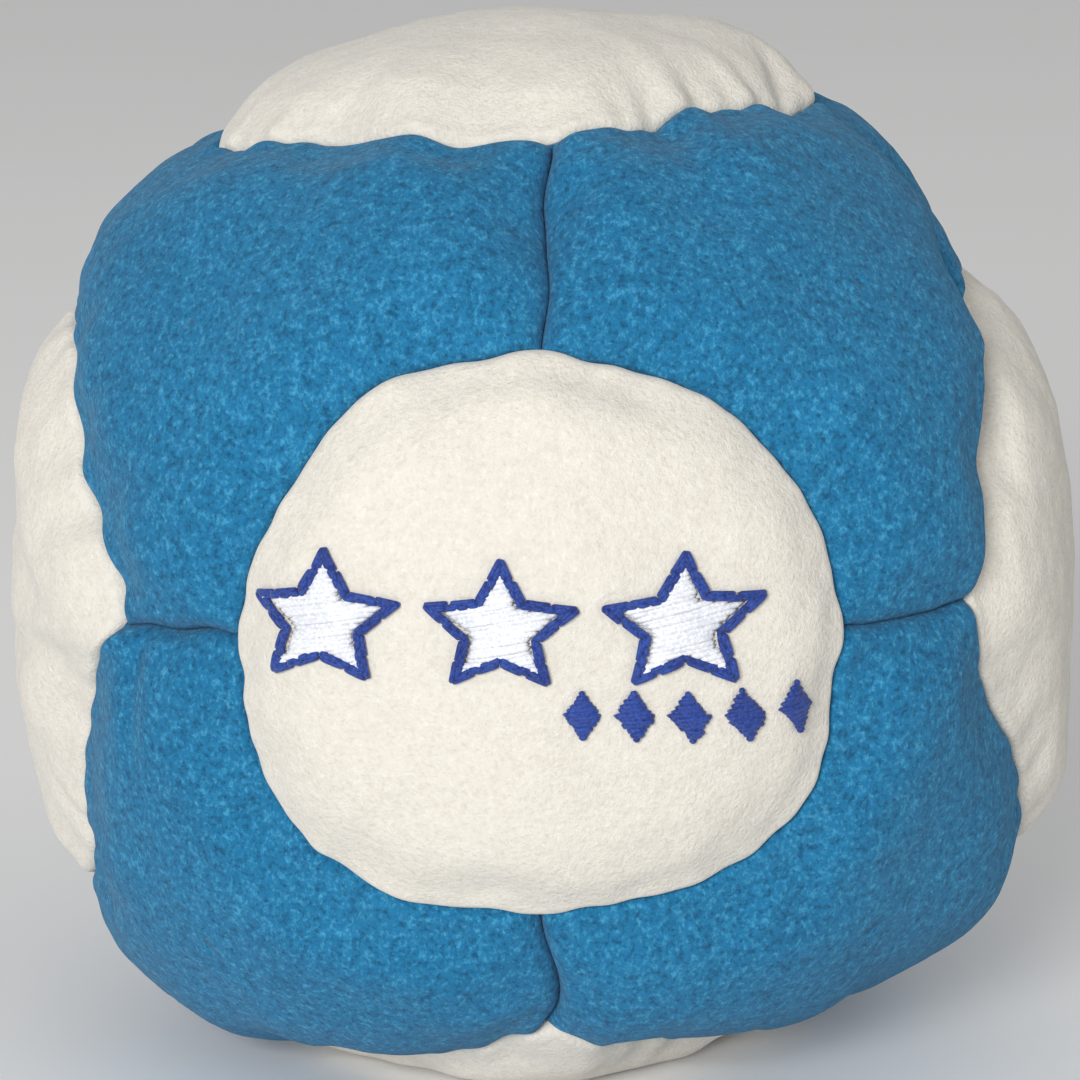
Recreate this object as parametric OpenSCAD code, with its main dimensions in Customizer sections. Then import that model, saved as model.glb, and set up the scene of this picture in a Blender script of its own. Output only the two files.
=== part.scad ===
// Fourteen-panel sand-filled footbag, also used as a juggling ball.
// Six round white suede panels sit on the faces of a cube and eight blue
// three-armed panels sit on its corners. Every panel edge is turned inwards
// and sewn to its neighbour, and loose sand fills the bag.
//
// Frame: millimetres, +Z up, origin at the centre of the flat on which the
// bag rests. The embroidered panel faces -Y, and left and right are as seen
// by someone who looks at that panel.

/* [Bag] */
// Width across the crowns of the two side panels
bag_w = 52.8; // [48:0.2:60]
// Height of the bag's middle above the surface that it rests on
middle_h = 25; // [23.6:0.1:25.8]
// Depth of the seam valleys below the crowns of the round panels
seam_depth = 1.2; // [0.8:0.1:1.8]
// Angle at the middle from a round panel's axis to its seam
seam_angle = 34; // [32:0.5:36]
// How far the four upper corner panels swell past the round ones
upper_swell = 0.6; // [0:0.1:1.5]
// How far the four lower corner panels swell, with the sand's weight in them
lower_swell = 1.8; // [0:0.1:2.4]

/* [Suede] */
// Thickness of the suede
suede_t = 0.9; // [0.7:0.1:1.1]
// Depth of the seam allowance that is turned inwards
allowance = 3; // [2.4:0.1:4]
// Height of a panel's rolled edge above the seam valley
edge_roll = 0.8; // [0.5:0.1:1.1]
// Slope of that rolled edge, against the bag's own surface
roll_slope = 50; // [35:1:55]

/* [Thread] */
// Thickness of the sewing thread
thread_d = 0.34; // [0.25:0.01:0.4]
// Depth of the stitches below the seam valley
stitch_depth = 1; // [0.7:0.1:1.4]
// Needle holes along each quarter of a round panel's seam
ring_holes = 10; // [6:2:12]
// Needle holes along each short seam between two corner panels
edge_holes = 5; // [3:2:5]

/* [Sand] */
// Height of the settled sand above the surface that the bag rests on
sand_level = 33; // [28:1:46]

/* [Embroidery] */
// Height of the embroidery above the suede
embroidery_t = 0.35; // [0.2:0.05:0.5]
// Width of the dark outline
outline_w = 0.5; // [0.35:0.05:0.6]
// Thickness of the backing behind the embroidered panel
backing_t = 0.3; // [0.2:0.05:0.4]

/* [Hidden] */
$fn = 96;
SIDES = ["front", "back", "left", "right", "top", "bottom"];
// [name, sign along X, sign along Y, sign along Z]
CORNERS = [
    for (z = [1, -1], y = [-1, 1], x = [-1, 1])
        [str(z > 0 ? "upper_" : "lower_", y < 0 ? "front_" : "back_", x < 0 ? "left" : "right"), x, y, z]
];
// Short seams: [name, turn that carries the top-front seam there]
EDGES = [
    ["top_front", [0, 0, 0]], ["top_right", [0, 0, 90]],
    ["top_back", [0, 0, 180]], ["top_left", [0, 0, 270]],
    ["bottom_front", [90, 0, 0]], ["bottom_right", [90, 0, 90]],
    ["bottom_back", [90, 0, 180]], ["bottom_left", [90, 0, 270]],
    ["front_left", [0, -90, 0]], ["front_right", [0, 90, 0]],
    ["back_left", [0, 90, 180]], ["back_right", [0, -90, 180]],
];

// Colours
WHITE = [0.93, 0.91, 0.87];
BLUE = [0.18, 0.50, 0.69];
NAVY = [0.10, 0.20, 0.52];
SAND = [0.79, 0.69, 0.50];
PAPER = [0.88, 0.88, 0.85];

far = 2 * bag_w;
round_crown = bag_w / 2;
seam_r = round_crown - seam_depth;
edge_r = seam_r + edge_roll;
deep_r = seam_r - allowance;
stitch_r = seam_r - stitch_depth;
thread_r = thread_d / 2;
seam_ring_r = seam_r * sin(seam_angle);
seam_ring_h = seam_r * cos(seam_angle);

// Angle from a corner panel's axis to where three panels meet
corner_angle = acos((cos(seam_angle) + sin(seam_angle)) / sqrt(3));

// A panel swells as part of a sphere that is set off from the middle: it
// reaches crown on the panel's axis and edge_r at angle a from that axis.
function swell_shift(crown, a) = (pow(crown, 2) - pow(edge_r, 2)) / (2 * (crown - edge_r * cos(a)));
function swell_r(crown, a) = crown - swell_shift(crown, a);

round_shift = swell_shift(round_crown, seam_angle);
round_r = swell_r(round_crown, seam_angle);

// Turns +Z to the axis of one of the six sides.
function side_turn(side) =
    side == "front" ? [90, 0, 0] :
    side == "back" ? [-90, 0, 0] :
    side == "left" ? [0, -90, 0] :
    side == "right" ? [0, 90, 0] :
    side == "bottom" ? [180, 0, 0] : [0, 0, 0];

module at_middle() {
    translate([0, 0, middle_h]) children();
}

module below(z) {
    translate([-far, -far, z - 2 * far]) cube(2 * far);
}

// Solid cone about +Z from height low upwards. Its tip would be at height tip, with the given half angle.
module cone(tip, angle, low) {
    high = bag_w;
    translate([0, 0, low])
        cylinder(h = high - low, r1 = (low - tip) * tan(angle), r2 = (high - tip) * tan(angle));
}

// The seam cone of the side along +Z. A positive gap widens it, square to its wall.
// It starts inside the space that every panel leaves free around the middle.
module seam_cone(gap = 0) {
    cone(-gap / sin(seam_angle), seam_angle, deep_r / 3);
}

// What stands about +Z, repeated about +X and about +Y
module on_three_axes() {
    for (third = [0:2]) rotate(a = third * 120, v = [1, 1, 1]) children();
}

// ---- Round panels ----

// Outer skin of the round panel along +Z, moved inwards by inset
module round_skin(inset = 0) {
    translate([0, 0, round_shift]) sphere(r = round_r - inset);
}

// Narrowing cone that rolls the round panel's edge down into the seam
module round_edge_roll() {
    lean = tan(90 - seam_angle - roll_slope);
    half = bag_w / 2;
    translate([0, 0, seam_ring_h - half])
        cylinder(h = 2 * half, r1 = seam_ring_r + half * lean, r2 = seam_ring_r - half * lean);
}

// Room inside the round panel along +Z, this far from its seam walls
module round_hollow(side, wall) {
    intersection() {
        seam_cone(-wall);
        round_skin(suede_t);
        if (side == "bottom") below(middle_h - suede_t);
    }
}

module round_panel_shape(side) {
    intersection() {
        difference() {
            intersection() {
                seam_cone();
                round_skin();
                round_edge_roll();
            }
            round_hollow(side, suede_t);
            sphere(r = deep_r);
            ring_needle_holes(hole_count);
        }
        if (side == "bottom") below(middle_h);
    }
}

module round_panel(side) {
    color(WHITE) at_middle() rotate(side_turn(side)) round_panel_shape(side);
}

// ---- Corner panels ----

// Outer skin of the corner panel along (1, 1, 1), moved inwards by inset
module corner_skin(crown, inset = 0) {
    shift = swell_shift(crown, corner_angle) / sqrt(3);
    translate([shift, shift, shift]) sphere(r = swell_r(crown, corner_angle) - inset);
}

// What the side along +Z takes from a corner panel: all inside the seam cone, and beyond the
// seam ring a wider cone that rolls the corner panel's edge down to the seam. For the hollow
// under the suede, the first cone is wider by wall and the second one deeper by sunk.
module side_cut(wall = 0, sunk = 0) {
    rise = seam_angle + 90 - roll_slope;
    low = deep_r / 3;
    // Where the two cones' profiles cross
    roll = seam_ring_r * cos(rise) - seam_ring_h * sin(rise) + sunk;
    turn = sin(rise - seam_angle);
    r = (wall * sin(rise) - roll * sin(seam_angle)) / turn;
    h = (wall * cos(rise) - roll * cos(seam_angle)) / turn;
    low_r = low * tan(seam_angle) + wall / cos(seam_angle);
    rotate_extrude()
        polygon([[0, low], [low_r, low], [r, h], [r + bag_w * sin(rise), h + bag_w * cos(rise)],
            [0, h + bag_w * cos(rise)]]);
}

// Widening drum about +Z that rolls a corner panel's edge down to a short seam.
// The short seam's valley is a hair less deep than the round seams'.
module short_seam_roll(sunk = 0) {
    low = -2;
    high = bag_w;
    valley_r = seam_r + 0.06 - sunk / cos(roll_slope);
    slope = tan(roll_slope);
    translate([0, 0, low])
        cylinder(h = high - low, r1 = valley_r + low * slope, r2 = valley_r + high * slope);
}

// The corner along (1, 1, 1) up to its skin and its short seams' rolled edges, moved inwards by sunk
module corner_block(crown, wall, sunk) {
    intersection() {
        translate([wall, wall, wall]) cube(far);
        corner_skin(crown, sunk);
        short_seam_roll(sunk);
        rotate(a = 120, v = [1, 1, 1]) short_seam_roll(sunk);
        rotate(a = 240, v = [1, 1, 1]) short_seam_roll(sunk);
    }
}

// Room inside the corner panel along (1, 1, 1), this far from its seam walls
module corner_hollow(crown, wall) {
    difference() {
        corner_block(crown, wall, suede_t);
        on_three_axes() side_cut(wall, suede_t);
    }
}

module corner_panel_shape(crown) {
    difference() {
        corner_block(crown, 0, 0);
        on_three_axes() side_cut();
        corner_hollow(crown, suede_t);
        sphere(r = deep_r);
        on_three_axes() ring_needle_holes(ring_holes);
        on_three_axes() short_seam_needle_holes();
    }
}

function corner_crown(c) = round_crown + (c[3] > 0 ? upper_swell : lower_swell);

// Carries what lies along (1, 1, 1) to one of the eight corners
module to_corner(c) {
    mirror([c[1] < 0 ? 1 : 0, 0, 0])
        mirror([0, c[2] < 0 ? 1 : 0, 0])
            mirror([0, 0, c[3] < 0 ? 1 : 0])
                children();
}

module corner_panel(c) {
    color(BLUE) at_middle() to_corner(c) corner_panel_shape(corner_crown(c));
}

// ---- Needle holes and thread ----

hole_r = thread_r + 0.02;
// A straight run of thread cuts a curved wall's corner, so it stays this far off the suede
run_gap = 0.06;
run_offset = suede_t + thread_r + run_gap;
run_r = thread_r - 0.01;
cross_half = run_offset + thread_r + 0.02;
knot_r = 0.32;
hole_count = 4 * ring_holes;
hole_step = 360 / hole_count;
// The holes of a short seam spread evenly between these angles from the side's axis
edge_span = [seam_angle + 4, 86 - seam_angle];
edge_step = (edge_span[1] - edge_span[0]) / (edge_holes - 1);

// Direction square to the seam cone at angle a around it
function cone_normal(a) = [cos(seam_angle) * cos(a), cos(seam_angle) * sin(a), -sin(seam_angle)];
// Point of the seam cone at angle a around it and depth below the seam valley
function cone_point(a, depth) =
    (seam_r - depth) * [sin(seam_angle) * cos(a), sin(seam_angle) * sin(a), cos(seam_angle)];
function hole_angle(i) = (i + 0.5) * hole_step;
// Where the thread turns, outside (side 1) or inside (side -1) the seam cone
function ring_turn(i, side, depth) =
    cone_point(hole_angle(i), depth) + side * run_offset * cone_normal(hole_angle(i));
// The thread goes over to the other side of the seam at each hole.
function run_side(i) = i % 2 == 0 ? 1 : -1;

// Round bar from p to q
module rod(p, q, r) {
    v = q - p;
    translate(p) rotate([0, acos(v[2] / norm(v)), atan2(v[1], v[0])])
        cylinder(h = norm(v), r = r, $fn = 48);
}

// Needle holes through the seam cone along +Z, the first of them beside +X
module ring_needle_holes(count) {
    for (i = [0:count - 1])
        let (p = cone_point(hole_angle(i), stitch_depth), reach = 2 * suede_t * cone_normal(hole_angle(i)))
            rod(p - reach, p + reach, hole_r);
}

// Running stitch around the seam cone along +Z, through the holes first to last
module ring_stitches(first, last, depth, closed = false) {
    for (i = [first:last])
        let (p = cone_point(hole_angle(i), depth), reach = cross_half * cone_normal(hole_angle(i)))
            rod(p - reach, p + reach, thread_r);
    for (i = [first:closed ? last : last - 1])
        rod(ring_turn(i, run_side(i), depth), ring_turn(i + 1, run_side(i), depth), run_r);
}

function edge_angle(i) = edge_span[0] + i * edge_step;
// Hole of the short seam in the plane x = 0, counted from +Z towards +Y (side 1) or -Y (side -1)
function edge_point(i, side) = stitch_r * [0, side * sin(edge_angle(i)), cos(edge_angle(i))];

module short_seam_needle_holes() {
    reach = [2 * suede_t, 0, 0];
    for (i = [0:edge_holes - 1]) rod(edge_point(i, 1) - reach, edge_point(i, 1) + reach, hole_r);
}

// Running stitch along the short seam in the plane x = 0, knotted at both ends
module edge_stitches() {
    last = edge_holes - 1;
    across = [run_offset, 0, 0];
    for (i = [0:last])
        rod(edge_point(i, -1) - [cross_half, 0, 0], edge_point(i, -1) + [cross_half, 0, 0], thread_r);
    for (i = [0:last - 1])
        rod(edge_point(i, -1) + run_side(i) * across, edge_point(i + 1, -1) + run_side(i) * across, run_r);
    for (end = [[0, -1], [last, run_side(last)]])
        let (p = edge_point(end[0], -1), out = end[1] * [1, 0, 0])
            rod(p + (run_offset - thread_r) * out, p + (run_offset + 2 * thread_r) * out, knot_r);
}

// The back panel's seam has one quarter left open, through which the bag is filled.
open_first = 3 * ring_holes;

module ring_thread(side) {
    color(NAVY) at_middle() rotate(side_turn(side))
        if (side == "back") ring_stitches(0, open_first - 1, stitch_depth);
        else ring_stitches(0, hole_count - 1, stitch_depth, true);
}

module edge_thread(e) {
    color(NAVY) at_middle() rotate(e[1]) edge_stitches();
}

// Ladder stitch that closes the open quarter by hand, through the same kind of holes
module closing_stitch() {
    color(NAVY) at_middle() rotate(side_turn("back"))
        ring_stitches(open_first, hole_count - 1, stitch_depth);
}

// Knot in the end of the closing stitch, drawn down into the valley
module closing_knot() {
    a = hole_angle(hole_count - 1) + hole_step / 2;
    knot_reach = 0.35;
    // A loop of thread with the doubled end through it
    color(NAVY) at_middle() rotate(side_turn("back")) translate(cone_point(a, 0)) rotate([0, seam_angle, a]) {
        rotate_extrude() translate([0.36, 0]) circle(r = 0.2);
        translate([0, 0, -knot_reach]) cylinder(h = knot_reach + 0.45, r = 0.25);
    }
}

// ---- Sand ----

module sand_fill() {
    // Thread that runs inside the bag lies between the sand and the seam walls.
    wall = run_offset + thread_r + 0.08;
    color(SAND) difference() {
        intersection() {
            at_middle() union() {
                sphere(r = deep_r);
                for (side = SIDES) rotate(side_turn(side)) round_hollow(side, wall);
                for (c = CORNERS) to_corner(c) corner_hollow(corner_crown(c), wall);
            }
            below(sand_level);
        }
        backing_shape();
    }
}

// ---- Embroidery ----

// A row of stars with a short row of diamonds below its right-hand end
star_count = 3;
star_d = 8;
star_pitch = 8.1;
row_middle = [-1.3, 1.9];
diamond_count = 5;
diamond_w = 1.9;
diamond_h = 2.6;
diamond_pitch = 2.25;
diamond_middle = [6.9, -2.9];
backing_d = 25.6;

// Part of a shell over the front panel that lies in front of a drawing in x and z.
// It reaches from height low above the suede's outer face to height high.
module on_front_panel(low, high) {
    at_middle() rotate(side_turn("front")) difference() {
        intersection() {
            linear_extrude(height = far) children();
            round_skin(-high);
        }
        round_skin(-low);
    }
}

// Five-pointed star. Its points lie on a circle of radius r, and its edges are moved in by inset.
module star(r, inset = 0) {
    valley = 0.5;
    // Distance of the star's edges from its middle, for a radius of 1
    edge_distance = valley * sin(36) / norm([valley * sin(36), 1 - valley * cos(36)]);
    k = r - inset / edge_distance;
    polygon([for (i = [0:9]) k * (i % 2 == 0 ? 1 : valley) * [sin(i * 36), cos(i * 36)]]);
}

module star_row(inset) {
    for (i = [0:star_count - 1])
        translate(row_middle + [(i - (star_count - 1) / 2) * star_pitch, 0]) star(star_d / 2, inset);
}

module embroidery_fill() {
    color(WHITE) on_front_panel(0, embroidery_t) star_row(outline_w);
}

module embroidery_outline() {
    color(NAVY) on_front_panel(0, embroidery_t) difference() {
        star_row(0);
        star_row(outline_w);
    }
}

module embroidery_diamonds() {
    half = [diamond_w / 2, diamond_h / 2];
    color(NAVY) on_front_panel(0, embroidery_t)
        for (i = [0:diamond_count - 1])
            translate(diamond_middle + [(i - (diamond_count - 1) / 2) * diamond_pitch, 0])
                polygon([[half[0], 0], [0, half[1]], [-half[0], 0], [0, -half[1]]]);
}

module backing_shape() {
    on_front_panel(-suede_t - backing_t, -suede_t) circle(d = backing_d);
}

module embroidery_backing() {
    color(PAPER) backing_shape();
}

for (s = SIDES) {
    round_panel(s);
    ring_thread(s);
}
for (c = CORNERS) corner_panel(c);
for (e = EDGES) edge_thread(e);
sand_fill();
closing_stitch();
closing_knot();
embroidery_backing();
embroidery_fill();
embroidery_outline();
embroidery_diamonds();
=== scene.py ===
import math

import bpy
import numpy as np
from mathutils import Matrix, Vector


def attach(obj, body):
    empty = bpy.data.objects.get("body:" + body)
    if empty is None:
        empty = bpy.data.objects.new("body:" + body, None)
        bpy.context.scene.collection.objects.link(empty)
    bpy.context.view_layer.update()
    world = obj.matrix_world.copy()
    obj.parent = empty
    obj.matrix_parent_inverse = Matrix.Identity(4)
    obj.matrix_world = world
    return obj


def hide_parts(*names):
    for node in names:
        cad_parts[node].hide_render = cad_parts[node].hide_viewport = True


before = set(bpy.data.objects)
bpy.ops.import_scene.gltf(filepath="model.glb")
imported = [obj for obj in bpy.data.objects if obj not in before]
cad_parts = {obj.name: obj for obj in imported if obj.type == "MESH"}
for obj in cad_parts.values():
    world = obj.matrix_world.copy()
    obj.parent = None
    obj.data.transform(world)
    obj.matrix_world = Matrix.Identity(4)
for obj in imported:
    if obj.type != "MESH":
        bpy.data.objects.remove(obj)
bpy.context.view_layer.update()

MM = 0.001
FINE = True

# ---- The bag's sizes, which repeat the CAD part's ----
MIDDLE_H = 25.0
BAG_R = 26.4
SEAM_ANGLE = math.radians(34)
SUEDE_T = 0.9
ALLOWANCE = 3.0
THREAD_R = 0.17
RING_HOLES = 40
EDGE_HOLES = 5
SAND_LEVEL = 33.0

AXES = {
    "front": (0, -1, 0), "back": (0, 1, 0), "left": (-1, 0, 0),
    "right": (1, 0, 0), "top": (0, 0, 1), "bottom": (0, 0, -1),
}
SIDES = list(AXES)
SIDE_AXES = np.array([AXES[s] for s in SIDES], float)
CORNERS = {
    f"{z}_{y}_{x}": (sx, sy, sz)
    for z, sz in (("upper", 1), ("lower", -1))
    for y, sy in (("front", -1), ("back", 1))
    for x, sx in (("left", -1), ("right", 1))
}
# Each short seam runs between two sides' rings.
EDGES = {
    "top_front": ("top", "front"), "top_right": ("top", "right"),
    "top_back": ("top", "back"), "top_left": ("top", "left"),
    "bottom_front": ("front", "bottom"), "bottom_right": ("right", "bottom"),
    "bottom_back": ("back", "bottom"), "bottom_left": ("left", "bottom"),
    "front_left": ("left", "front"), "front_right": ("right", "front"),
    "back_left": ("back", "left"), "back_right": ("back", "right"),
}

# ---- Vectors as whole arrays ----


def unit(v):
    """Each vector divided by its own length."""
    return v / np.linalg.norm(v, axis=-1, keepdims=True)


def dot(a, b):
    """Product of matching vectors, summed over x, y and z."""
    return (a * b).sum(-1)


def bearing(azimuth, elevation):
    """Unit vector at an azimuth from the front, positive to the right, and an elevation."""
    a, e = math.radians(azimuth), math.radians(elevation)
    return np.array([math.sin(a) * math.cos(e), -math.cos(a) * math.cos(e), math.sin(e)])


def side_tangents(axis):
    """Two unit vectors square to a side's axis: towards the next short seam, and the one after."""
    axis = np.asarray(axis, float)
    first = np.roll(np.abs(axis), 1)
    return first, np.cross(axis, first)


def ripple(phase_seed, turns, weights, angle):
    """Sum of cosines of whole numbers of turns around a seam, each with its own random phase."""
    phases = np.random.default_rng(phase_seed).uniform(0, 2 * math.pi, len(turns))
    waves = np.cos(angle[..., None] * np.asarray(turns, float) + phases)
    return (waves * weights).sum(-1)


def lumps(seed, p, wavelength, count=14):
    """Soft three-dimensional noise between about -1 and 1: a sum of plane waves in random
    directions, with wavelengths within a third of the one given."""
    rng = np.random.default_rng(seed)
    waves = unit(rng.normal(size=(count, 3))) * (2 * math.pi / wavelength)
    waves *= rng.uniform(0.75, 1.33, (count, 1))
    phases = rng.uniform(0, 2 * math.pi, count)
    return np.cos(p @ waves.T + phases).sum(-1) / math.sqrt(count / 1.4)


# ---- The seam pattern ----
# A point of the bag is first a direction in the pattern, where every round panel is a true
# circle around its axis and every short seam lies in a plane through the middle. The pattern
# is then pulled about as the real sewing is, and given its distance from the middle.


def nearest_side(q):
    """For pattern directions: the index of the nearest side, its axis and its two tangents."""
    k = np.argmax(q @ SIDE_AXES.T, axis=-1)
    tangents = np.array([side_tangents(a) for a in SIDE_AXES])
    return k, SIDE_AXES[k], tangents[k, 0], tangents[k, 1]


def polar(q, axis, first, second):
    """Angle from the axis, and angle around it counted from the first tangent."""
    theta = np.arccos(np.clip(dot(q, axis), -1, 1))
    return theta, np.arctan2(dot(q, second), dot(q, first))


def from_polar(theta, phi, axis, first, second):
    """The direction at an angle from the axis and an angle around it."""
    across = np.cos(phi)[..., None] * first + np.sin(phi)[..., None] * second
    return np.cos(theta)[..., None] * axis + np.sin(theta)[..., None] * across


RING_ROLL = 0.6
EDGE_ROLL = 1.2
ROLL_REACH = 6.0


def roll_in(d, radius):
    """How a panel's edge rolls into a seam. For d, the distance along the suede from the seam:
    the distance square to the seam, and the drop, as a quarter circle does it. Past the quarter
    circle the distance grows back evenly until it is d again."""
    turn = radius * math.pi / 2
    angle = np.clip(d, 0, turn) / radius
    inner = radius * (1 - np.cos(angle))
    outer = radius + (d - turn) * (ROLL_REACH - radius) / (ROLL_REACH - turn)
    square = np.where(d < turn, inner, np.where(d < ROLL_REACH, outer, d))
    return square, radius * (1 - np.sin(angle))


# How far each side's round panel sits from its axis: towards which bearings, in degrees
DRIFT = {
    "front": [((0, -90), 0.9), ((-90, 0), 0.9)],
    "left": [((0, 0), 6.0), ((0, -90), 4.0)],
    "right": [((0, 0), 3.5), ((0, 90), 3.0)],
    "top": [((-90, 0), 3.5)],
    "bottom": [((180, 0), 3.5)],
    "back": [((90, 0), 2.0), ((0, 90), 1.5)],
}
# How much a round panel is drawn together along a bearing, as a share of its own width
FLATTEN = {
    "front": [((0, 90), 0.153), ((90, 0), 0.02)],
    "left": [((0, 90), 0.095)],
    "right": [((0, 90), 0.085)],
    "top": [((90, 0), 0.03)],
    "bottom": [((90, 0), 0.25)],
}
# Where the sewing has pulled the suede aside: azimuth, elevation and spread in degrees, the
# bearing that it is pulled towards, and by how many millimetres
TUGS = [
    (0, 56, 22, (180, 34), 1.0), (38, 58, 22, (218, 32), 1.5), (-25, 56, 18, (155, 34), 0.6),
    (-42, 53, 12, (138, 37), 1.0), (44, 59, 12, (224, 31), 0.7), (-2, 56, 16, (90, 0), 2.2),
    (0, 34, 12, (90, 0), 0.9), (0, -44, 15, (90, 0), 0.7), (-45, -4, 20, (0, 90), 0.75),
    (62, 2, 16, (0, -90), 1.1), (-20, 25, 12, (-60, 40), 0.7), (-2, 31, 13, (0, -59), 0.3),
    (18, 25, 13, (60, 40), 1.1), (-28, 14, 13, (62, 0), 0.5), (25, -18, 13, (90, -30), 1.9),
    (-23, -21, 13, (-90, -30), 1.2), (0, -30, 13, (0, 60), 0.8), (-58, 13, 13, (-148, 0), 1.0),
    (-52, -1, 7, (38, 0), 2.2), (-58, -18, 13, (-146, 0), 4.3), (64, -20, 13, (154, 0), 2.4),
    (-86, 46, 15, (0, 0), 2.0), (86, 46, 15, (0, 0), 1.2), (2, -57, 8, (2, 33), 2.5),
    (0, -62, 22, (0, 28), 1.7), (-32, -60, 12, (148, -30), 1.0), (32, -60, 12, (212, -30), 1.0),
]
# Where the bag bulges with sand or sags: azimuth, elevation, spread in degrees, and rise
BULGES = [
    (-78, -47, 24, 1.5), (84, -29, 17, 1.5), (100, 67, 11, 0.8), (90, 38, 15, -1.0),
    (-92, 10, 13, -0.7), (-68, 32, 16, 1.0), (66, -30, 14, 0.6), (0, -46, 30, 0.2),
    (150, -35, 25, 0.6), (-140, -38, 25, 0.5), (-34, -60, 15, 0.2), (62, -50, 14, -0.5),
]
# The belt of sagging sand: its elevation and spread in degrees, and its rise
SAG_BAND = (-42, 17, 1.3)


def bag_radius(d):
    """Distance of the bag's skin from its middle without seams: a sphere, a belt of sagging sand
    below the middle, and the bulges, each a bell curve of the angle from its own bearing."""
    elevation = np.degrees(np.arcsin(np.clip(d[..., 2], -1, 1)))
    at, spread, rise = SAG_BAND
    r = BAG_R + rise * np.exp(-(((elevation - at) / spread) ** 2))
    for azimuth, high, wide, out in BULGES:
        off = np.degrees(np.arccos(np.clip(d @ bearing(azimuth, high), -1, 1)))
        r = r + out * np.exp(-((off / wide) ** 2))
    return r


# Folds in the suede: the bearings of their two ends, width and depth in millimetres. A fold
# with a negative depth stands proud.
FOLDS = [
    ((-60, -3), (-84, 6), 1.0, 0.55), ((-60, -6), (-84, -10), 1.1, 0.6),
    ((-62, -10), (-78, -24), 1.2, 0.45), ((-62, -1), (-76, 16), 1.1, -0.35),
    ((68, 38), (62, 12), 0.9, 0.9), ((66, 58), (84, 66), 0.8, 0.5),
    ((74, 55), (96, 62), 1.0, -0.3), ((-46, -3), (-47, -15), 0.7, 0.4),
    ((3, 52), (2, 38), 1.6, 0.35), ((-46, -2), (-30, -2), 1.4, 0.3),
    ((150, 50), (165, 62), 1.0, 0.4), ((-120, 20), (-132, 34), 1.2, 0.4),
    ((118, -2), (98, 4), 1.0, 0.45),
]
FOLD_ENDS = (0.15, 0.7)


def folds(d):
    """Height of the folds: each is a groove with the profile of a bell curve along the straight
    line between its ends. It is deepest half-way, as a sine arch, and dies out beyond its ends."""
    height = 0.0
    first, span = FOLD_ENDS
    for start, end, wide, deep in FOLDS:
        a, b = bearing(*start) * BAG_R, bearing(*end) * BAG_R
        run = b - a
        p = d * BAG_R
        t = np.clip(((p - a) @ run) / (run @ run), 0, 1)
        off = np.linalg.norm(p - a - t[..., None] * run, axis=-1)
        arch = np.sin(math.pi * (first + span * t))
        height = height - deep * arch * np.exp(-((off / wide) ** 2))
    return height


RING_TURNS = np.array([3, 4, 5, 6, 7, 9, 11, 13, 16])
RING_WANDER = np.array([0.16, 0.2, 0.14, 0.12, 0.08, 0.06, 0.05, 0.05, 0.03])
RING_SHARES = [0.35, 1.0, 0.9, 0.6, 0.85, 1.0]
PUCKER_TURNS = np.array([9, 11, 13, 16, 19, 22, 26, 31, 37])
PUCKER_RISE = np.array([0.10, 0.11, 0.10, 0.10, 0.09, 0.08, 0.07, 0.06, 0.05])
# Where the blue suede stands over a sunken white edge: bearing, spread in degrees, and depth
LEDGES = [(61, 19, 17, 2.1), (-75, -2, 12, 0.5), (-10, 56, 14, 0.25)]
LEDGE_START = 0.5
LEDGE_REACH = 2.6
BLUE_SWELL = 0.6


def ledges(d, ring_d, blue):
    """Height of the ledges: white suede sinks just inside its seam, and blue suede swells a
    little beside it. Both are nought in the seam itself and die out with distance from it."""
    near = (1 - np.exp(-((ring_d / LEDGE_START) ** 2))) * np.exp(-ring_d / LEDGE_REACH)
    height = 0.0
    for azimuth, high, wide, deep in LEDGES:
        off = np.degrees(np.arccos(np.clip(d @ bearing(azimuth, high), -1, 1)))
        height = height + deep * np.exp(-((off / wide) ** 2)) * near
    return BLUE_SWELL * height if blue else -height


QUARTER = math.pi / 2
# Rings are drawn out into a small notch where a short seam ends, and short seams sway.
NOTCH = 0.4
NOTCH_SPREAD = 0.1
SWAY = 0.3
SWAY_SIZE = 9.0
SWAY_SEED = 7
WANDER_SEED = 40
WANDER_REACH = 4.0
PUCKER_SEED = 60
DRIFT_REACH = math.radians(76)
DRIFT_GAIN = 1.25
DRIFT_FALL = 1.4


def drifted(d, q):
    """Moves directions as the round panels drift and draw together: each side's pull fades with
    the angle from its axis, as a power of a cosine, and is gone at the drift's reach. Each tug
    then moves the directions near its own bearing by a bell curve of the angle."""
    for name, axis in zip(SIDES, SIDE_AXES):
        off = np.arccos(np.clip(q @ axis, -1, 1)) / DRIFT_REACH
        weight = DRIFT_GAIN * np.cos(np.clip(off, 0, 1) * QUARTER) ** DRIFT_FALL
        for towards, degrees in DRIFT[name]:
            d = d + (weight * math.radians(degrees))[..., None] * bearing(*towards)
        for along, share in FLATTEN.get(name, []):
            line = bearing(*along)
            d = d - (weight * share * (q @ line))[..., None] * line
    at = unit(d)
    for azimuth, high, wide, towards, pull in TUGS:
        off = np.degrees(np.arccos(np.clip(at @ bearing(azimuth, high), -1, 1)))
        share = pull / BAG_R * np.exp(-((off / wide) ** 2))
        d = d + share[..., None] * bearing(*towards)
    return unit(d)


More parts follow.
